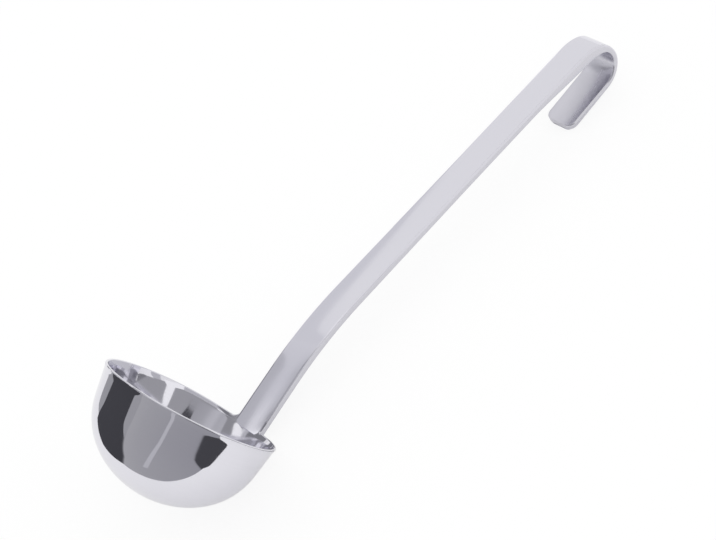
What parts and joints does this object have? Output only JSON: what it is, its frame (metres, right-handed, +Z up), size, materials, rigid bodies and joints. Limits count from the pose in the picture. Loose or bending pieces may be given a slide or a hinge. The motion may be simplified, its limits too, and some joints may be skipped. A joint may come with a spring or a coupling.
{
  "type": "soup ladle",
  "caption": "Polished stainless steel soup ladle: deep round bowl with a flared pouring lip and a long flat welded handle bent into a hanging hook.",
  "frame": {"origin": "on the table under the middle of the ladle's bounding box, with the ladle lying on the back of its bowl and the tip of its hook", "axes": "+Z up from the table, +X along the handle from the bowl to the hook, Y across the handle"},
  "size_m": [0.3764, 0.0998, 0.0961],
  "materials": {
    "bowl_steel": "drawn stainless steel sheet, mirror polished inside and out",
    "handle_steel": "stainless steel flat bar, fine satin polish with rounded edges",
    "weld_steel": "stainless weld metal, ground and polished to a hollow fillet"
  },
  "bodies": {
    "root": {"bowl": "bowl_steel", "handle": "handle_steel", "weld_fillet_left": "weld_steel", "weld_fillet_right": "weld_steel", "weld_bead": "weld_steel"}
  },
  "joints": []
}
